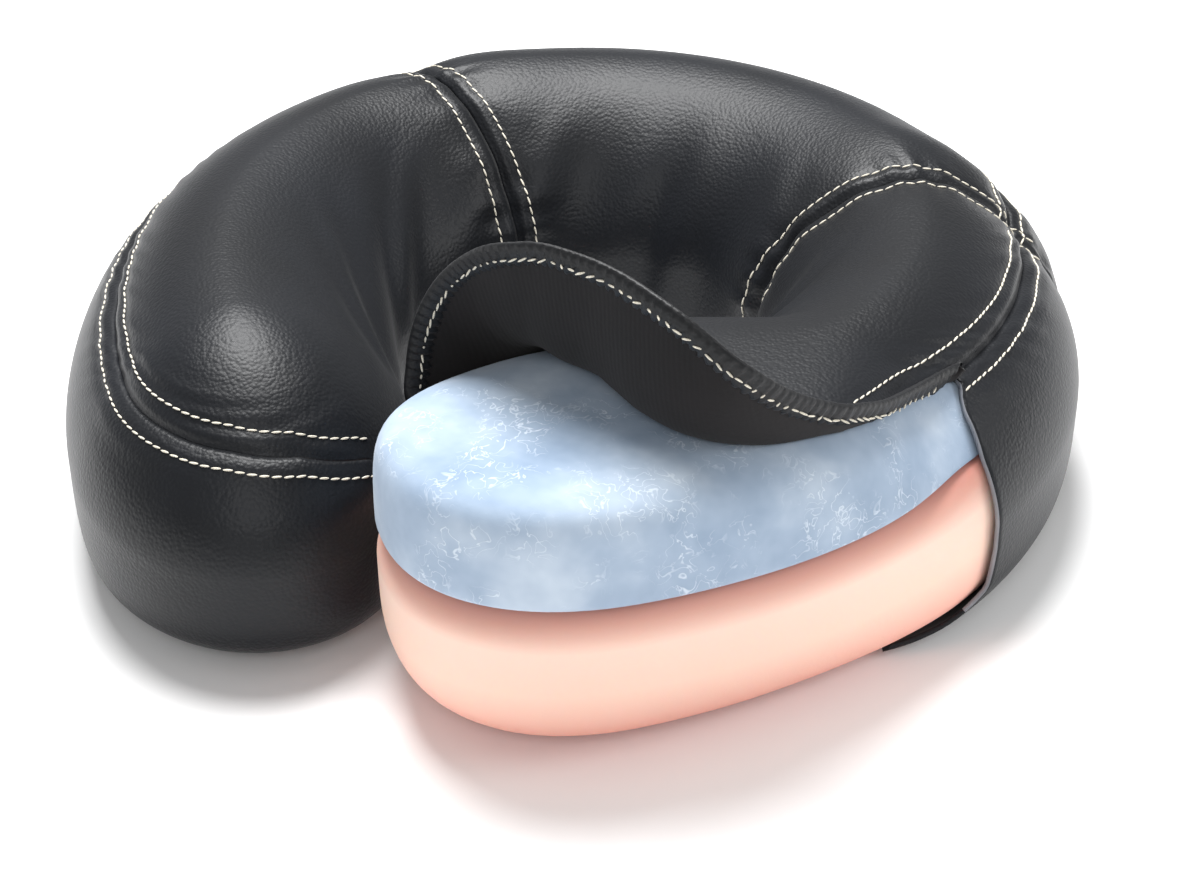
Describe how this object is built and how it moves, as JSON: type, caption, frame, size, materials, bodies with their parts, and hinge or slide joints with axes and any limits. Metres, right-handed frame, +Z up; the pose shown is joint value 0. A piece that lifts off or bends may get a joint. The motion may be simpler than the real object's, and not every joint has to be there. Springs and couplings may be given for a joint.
{
  "type": "face cradle cushion",
  "caption": "Horseshoe face cushion for a massage table, its stitched cover opened on one arm to show the two foam layers, with a peeled cover flap that lifts.",
  "frame": {"origin": "centre of the crown's arc, on the plane the cushion rests on, within 2 mm of the middle of the whole", "axes": "+Z up, +Y towards the crown, -Y towards the chin gap, +X towards the arm whose cover is opened"},
  "size_m": [0.3, 0.3029, 0.1313],
  "materials": {
    "cover_leather": "grained black polyurethane leather",
    "memory_foam": "matte pale blue memory foam",
    "base_foam": "matte peach support foam",
    "thread": "cream polyester topstitch thread",
    "underside_cloth": "matte black brushed cloth",
    "loop_tape": "fuzzy black loop tape",
    "backing_tape": "matte dark woven tape"
  },
  "bodies": {
    "cushion": {"base_foam": "base_foam", "memory_foam": "memory_foam", "top_panel_left": "cover_leather", "top_panel_crown": "cover_leather", "top_panel_right": "cover_leather", "side_panel_left": "cover_leather", "side_panel_crown": "cover_leather", "side_panel_right": "cover_leather", "bottom_cloth_panel": "underside_cloth", "loop_strip_left": "loop_tape", "loop_strip_crown": "loop_tape", "loop_strip_right": "loop_tape", "stitch_upper_row_left": "thread", "stitch_upper_row_crown": "thread", "stitch_upper_row_right": "thread", "stitch_lower_row_left": "thread", "stitch_lower_row_crown": "thread", "stitch_lower_row_right": "thread", "stitch_cross_row_right_arm": "thread", "stitch_cross_row_left_arm": "thread", "stitch_cross_row_right_crown": "thread", "stitch_cross_row_left_crown": "thread", "seam_backing_left": "backing_tape", "seam_backing_right": "backing_tape", "seam_backing_outer": "backing_tape"},
    "cover_flap": {"flap_panel": "cover_leather", "flap_hem": "cover_leather", "stitch_flap_row": "thread"}
  },
  "joints": [
    {"name": "cover_flap_lift", "type": "hinge", "parent": "cushion", "child": "cover_flap", "pos_m": [0.062, -0.084, 0.0842], "axis": [-0.9898, 0.1426, 0], "range_deg": [0, 60]}
  ]
}
